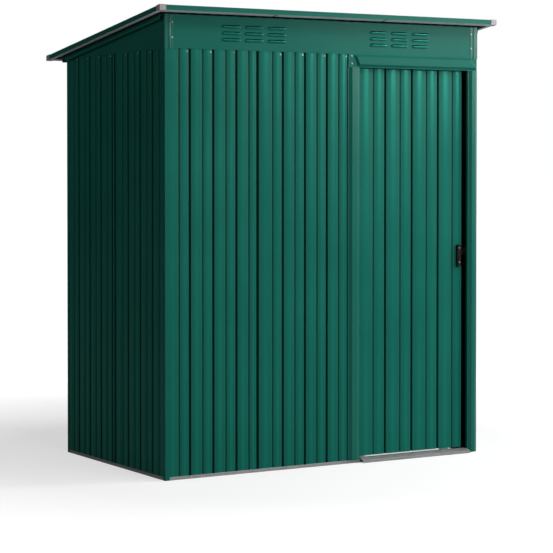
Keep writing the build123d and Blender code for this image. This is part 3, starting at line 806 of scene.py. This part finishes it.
# %% The rounded lip
patch = add("GeometryNodeMeshGrid", {"Size X": 1.0, "Size Y": 1.0})
patch.inputs["Vertices X"].default_value = outline_steps + 1
patch.inputs["Vertices Y"].default_value = lip_steps + 1
turn = maths("MULTIPLY_ADD", on_ring["X"], math.pi, 1.5 * math.pi)
sweep = maths("MULTIPLY", maths("ADD", on_ring["Y"], 0.5), given["Lip Arc"])
reach = maths("MULTIPLY", maths("SINE", turn), half_height)
drop = maths("MULTIPLY", reach, maths("COSINE", sweep))
stand = maths("MULTIPLY", reach, maths("SINE", sweep))
along = slit_length_at(maths("COSINE", turn))
lip_at = combine(press_tree, X=along, Y=drop, Z=maths("MULTIPLY", stand, -1.0))
lip = add("GeometryNodeSetPosition", {"Geometry": patch.outputs[0], "Position": lip_at})
rubbed = mark(press_tree, lip.outputs[0], "burnished", 1.0, domain="FACE")


# %% Grids of louvres in a filled plate
def spread(count, spacing):
    """How far a row of louvres reaches."""
    return maths("MULTIPLY", maths("SUBTRACT", given[count], 1.0), given[spacing])


groups = []
for side in (-1.0, 1.0):
    grid_size = {
        "Size X": spread("Columns", "Column Pitch"), "Size Y": spread("Rows", "Row Pitch"),
        "Vertices X": given["Columns"], "Vertices Y": given["Rows"],
    }
    grid = add("GeometryNodeMeshGrid", grid_size)
    shift = combine(press_tree, X=maths("MULTIPLY", given["Group Offset"], side))
    moving = {"Geometry": grid.outputs[0], "Translation": shift}
    groups.append(add("GeometryNodeTransform", moving).outputs[0])
spots = join(press_tree, *groups)


def on_spots(shape):
    """Copies of a shape on every louvre's place, as real geometry."""
    placed = add("GeometryNodeInstanceOnPoints", {"Points": spots, "Instance": shape})
    return add("GeometryNodeRealizeInstances", {0: placed.outputs[0]}).outputs[0]


slit_curve = add("GeometryNodeMeshToCurve", {"Mesh": slit.outputs[0]})
rim = rectangle(press_tree, given["Width"], given["Height"])
plate = fill(press_tree, rim, on_spots(slit_curve.outputs[0]))
pressed = weld(press_tree, join(press_tree, plate, on_spots(rubbed)))
end_tree(press_tree, pressed, given["Material"])
print("louvre tree:", len(press_tree.nodes), "nodes")

# %% Press the fascia
fascia_low, fascia_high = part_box("fascia")
fascia_middle = (fascia_low.z + fascia_high.z) / 2
values = {
    "Width": fascia_high.x - fascia_low.x, "Height": fascia_high.z - fascia_low.z,
    "Slit Length": 0.086, "Slit Height": 0.013, "Columns": 3, "Rows": 3,
    "Column Pitch": 0.106, "Row Pitch": 0.026, "Group Offset": 0.354,
    "Lip Arc": math.radians(115), "Material": green_pressed,
}
upright = Matrix(((1, 0, 0), (0, 0, -1), (0, 1, 0))).to_4x4()
place = Matrix.Translation((0, front, fascia_middle)) @ upright
fascia = grow("fascia_pressed", press_tree, values, [green_pressed], thickness=strip, place=place)
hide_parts("fascia")
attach(fascia, "shed")
print("fascia faces:", len(fascia.data.polygons))

# %% [markdown]
# ## Screws
# Small pan-head screws with washers hold the sheets to the frame. One head is made of a washer,
# a tapered head and a cross recess, and the tree sets a copy on every given point, facing outwards.

# %% The screw tree
screw_inputs = {
    "Head Diameter": "Float", "Head Height": "Float", "Washer Diameter": "Float",
    "Washer Height": "Float", "Facing": "Vector", "Material": "Material",
}
screw_tree, given, add, maths = new_geometry_tree("pan_head_screws", screw_inputs)
sides = 14
washer_size = {
    "Vertices": sides, "Depth": given["Washer Height"],
    "Radius": maths("MULTIPLY", given["Washer Diameter"], 0.5),
}
washer = add("GeometryNodeMeshCylinder", washer_size)
head_size = {
    "Vertices": sides, "Depth": given["Head Height"],
    "Radius Bottom": maths("MULTIPLY", given["Head Diameter"], 0.5),
    "Radius Top": maths("MULTIPLY", given["Head Diameter"], 0.36),
}
head = add("GeometryNodeMeshCone", head_size)
recess_length = maths("MULTIPLY", given["Head Diameter"], 0.56)
recess_width = maths("MULTIPLY", given["Head Diameter"], 0.13)
recess_size = combine(screw_tree, X=recess_length, Y=recess_width, Z=given["Head Height"])
top = combine(screw_tree, Z=given["Head Height"])
bars = []
for quarter in (0.0, math.pi / 2):
    bar = add("GeometryNodeMeshCube", {"Size": recess_size})
    placing = {"Geometry": bar.outputs[0], "Translation": top, "Rotation": (0, 0, quarter)}
    bars.append(add("GeometryNodeTransform", placing).outputs[0])
cut = add("GeometryNodeMeshBoolean", operation="DIFFERENCE", solver="EXACT")
screw_tree.links.new(head.outputs[0], cut.inputs[0])
screw_tree.links.new(join(screw_tree, *bars), cut.inputs[1])
cut.inputs["Self Intersection"].default_value = True
screw = join(screw_tree, washer.outputs[0], cut.outputs[0])
setting = {"Points": given["Seeds"], "Instance": screw, "Rotation": given["Facing"]}
screws_set = add("GeometryNodeInstanceOnPoints", setting)
end_tree(screw_tree, screws_set.outputs[0], given["Material"])

# %% [markdown]
# ## Where the screws sit
# The photo shows one screw beside each deep rib just below the fascia, the same along the gables,
# two in each fascia cover, two in the header's left tab and two in the handle.
# The hidden walls and the roof are fastened the same way.

# %% Screw rows
screw_below_top = 0.010
beside_rib = -0.0125
cover_screw_inset = 0.0315
cover_screw_levels = (1.740, 1.800)
tab_screw_x = 0.875
tab_screw_levels = (1.660, 1.691)
handle_screw_levels = (0.821, 0.882)
roof_screw_inset = 0.040
facings = {
    "front": (math.pi / 2, 0, 0),
    "back": (-math.pi / 2, 0, 0),
    "left": (0, -math.pi / 2, 0),
    "right": (0, math.pi / 2, 0),
    "roof": (-roof_pitch_angle, 0, 0),
    "handle": (math.pi / 2, 0, 0),
}
well_outside = 0.3
screw_points = {facing: [] for facing in facings}
bpy.context.view_layer.update()
seen_shapes = bpy.context.evaluated_depsgraph_get()


def add_screw(facing, place, inwards):
    """Seat a screw on the first surface met on the way in from a place well outside."""
    start = Vector(place) - well_outside * Vector(inwards)
    met, seat = scene.ray_cast(seen_shapes, start, Vector(inwards))[:2]
    if met:
        screw_points[facing].append(seat)


for node, (wall, *_) in wall_plan.items():
    facing = node.split("_")[0]
    height = min(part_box(node)[1].z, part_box("fascia")[0].z) - screw_below_top
    for x in rib_places[node]:
        add_screw(facing, wall @ Vector((x + beside_rib, 0, height)), wall.col[1].xyz)

inwards = front_wall.col[1].xyz
for level in cover_screw_levels:
    for x in (left + cover_screw_inset, right - cover_screw_inset):
        add_screw("front", (x, front, level), inwards)
for level in tab_screw_levels:
    add_screw("front", (left + tab_screw_x, front, level), inwards)
handle_low, handle_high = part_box("door_handle")
for level in handle_screw_levels:
    add_screw("handle", ((handle_low.x + handle_high.x) / 2, front, level), inwards)

roof_low, roof_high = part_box("roof_trim_left")
for y in (roof_low.y + roof_screw_inset, 0, roof_high.y - roof_screw_inset):
    for number in range(1, int(roof_width / roof_rib_pitch) - 1, 2):
        add_screw("roof", (roof_left + (number + 0.5) * roof_rib_pitch, y, roof_high.z), (0, 0, -1))
print("screws per face:", {facing: len(points) for facing, points in screw_points.items()})

# %% Set the screws
screw_sizes = {
    "Head Diameter": 0.0064, "Head Height": 0.0020,
    "Washer Diameter": 0.0080, "Washer Height": 0.0010, "Material": bright_zinc,
}
for facing, points in screw_points.items():
    values = {**screw_sizes, "Facing": facings[facing]}
    screws = grow(f"screws_{facing}", screw_tree, values, [bright_zinc], seeds=points)
    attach(screws, "door" if facing == "handle" else "shed")
    print(screws.name, len(points), "screws,", len(screws.data.polygons), "faces")

# %% [markdown]
# ## Camera
# The camera was fitted to the wall lines of the photograph. Its verticals stay parallel there,
# which a view camera does with a shifted lens, so a shift carries most of the framing.

# %% Camera
camera_place = Vector((-4.3320, -7.1990, 1.2508))
camera_turn = math.radians(31.209)
camera_tilt = math.radians(1.245)
camera = bpy.data.objects.new("camera", bpy.data.cameras.new("camera"))
camera.data.lens = 126.72
camera.data.shift_y = -0.13
camera.location = camera_place
camera.rotation_euler = (math.pi / 2 - camera_tilt, 0, -camera_turn)
scene.collection.objects.link(camera)
scene.camera = camera

# %% [markdown]
# ## Studio
# A pale floor and white surroundings. Two wide soft boxes light the front from ahead and above, one
# at the front right rakes across the ribs, and a small one gives the upper right its bright streaks.
# A weak lamp behind the left keeps that wall dark but readable. In reflections the surroundings
# glow at the right only. The floor grows paler away from the shed, so its edge is never seen.

# %% Floor
floor_reach = 30.0
floor_drop = 0.0005
corners = [(x * floor_reach, y * floor_reach, 0) for x, y in ((-1, -1), (1, -1), (1, 1), (-1, 1))]
floor_mesh = bpy.data.meshes.new("floor")
floor_mesh.from_pydata(corners, [], [(0, 1, 2, 3)])
floor = bpy.data.objects.new("floor", floor_mesh)
floor.location.z = -floor_drop
scene.collection.objects.link(floor)

material = bpy.data.materials.new("floor_white")
material.use_nodes = True
tree = material.node_tree
shader = tree.nodes["Principled BSDF"]
shader.inputs["Roughness"].default_value = 0.9
shader.inputs["Specular IOR Level"].default_value = 0.0
rays = add_node(tree, "ShaderNodeLightPath").outputs
glossy = calculate(tree, "MAXIMUM", rays["Is Glossy Ray"], rays["Is Transmission Ray"])
seen = calculate(tree, "MAXIMUM", rays["Is Camera Ray"], glossy)
tone = blend(tree, seen, (0.34, 0.34, 0.34), (0.45, 0.45, 0.45))
tree.links.new(tone, shader.inputs["Base Color"])
shader.inputs["Emission Color"].default_value = (1, 1, 1, 1)
spot = add_node(tree, "ShaderNodeTexCoord").outputs["Object"]
away = add_node(tree, "ShaderNodeVectorMath", {0: spot}, operation="LENGTH").outputs["Value"]
paler = ranged(tree, away, 0.60, 1.0, 1.2, 3.0)
emission = calculate(tree, "MULTIPLY", rays["Is Camera Ray"], paler)
tree.links.new(emission, shader.inputs["Emission Strength"])
floor_mesh.materials.append(material)

# %% Surroundings
ambient = 0.08
world = bpy.data.worlds.new("studio")
scene.world = world
world.use_nodes = True
tree = world.node_tree
background = tree.nodes["Background"]
rays = add_node(tree, "ShaderNodeLightPath").outputs
direction = add_node(tree, "ShaderNodeTexCoord").outputs["Generated"]
glow_side = {0: direction, 1: (1.0, 0.1, 0.0)}
toward_light = add_node(tree, "ShaderNodeVectorMath", glow_side, operation="DOT_PRODUCT")
glow = ranged(tree, toward_light.outputs["Value"], 0.0, 1.0, 0.70, 1.00)
glossy = calculate(tree, "MAXIMUM", rays["Is Glossy Ray"], rays["Is Transmission Ray"])
lit = add_node(tree, "ShaderNodeMix", {"Factor": glossy, "A": ambient, "B": glow}).outputs[0]
shown = {"Factor": rays["Is Camera Ray"], "A": lit, "B": 1.0}
strength = add_node(tree, "ShaderNodeMix", shown).outputs[0]
tree.links.new(strength, background.inputs["Strength"])
background.inputs["Color"].default_value = (1, 1, 1, 1)

scene.view_settings.view_transform = "Standard"

# %% Lights
def soft_box(name, place, target, width, height, power):
    """A rectangular lamp aimed at a point."""
    lamp = bpy.data.objects.new(name, bpy.data.lights.new(name, "AREA"))
    lamp.data.shape = "RECTANGLE"
    lamp.data.size, lamp.data.size_y = width, height
    lamp.data.energy = power
    lamp.location = place
    aim = Vector(target) - Vector(place)
    lamp.rotation_euler = aim.to_track_quat("-Z", "Y").to_euler()
    scene.collection.objects.link(lamp)


soft_box("key", (3.8, -1.9, 2.7), (0, -0.46, 1.1), 1.2, 2.0, 130)
soft_box("fill", (-0.5, -7.5, 2.0), (0, -0.46, 0.6), 3.0, 2.0, 104)
soft_box("top", (0.2, -3.6, 5.2), (0, -0.3, 0.8), 3.0, 2.0, 95)
soft_box("streak", (2.25, -2.9, 2.2), (0.4, -0.46, 1.6), 0.3, 0.3, 34)
soft_box("side", (-6.5, 2.2, 2.6), (-0.76, 0, 1.0), 2.0, 2.0, 46)
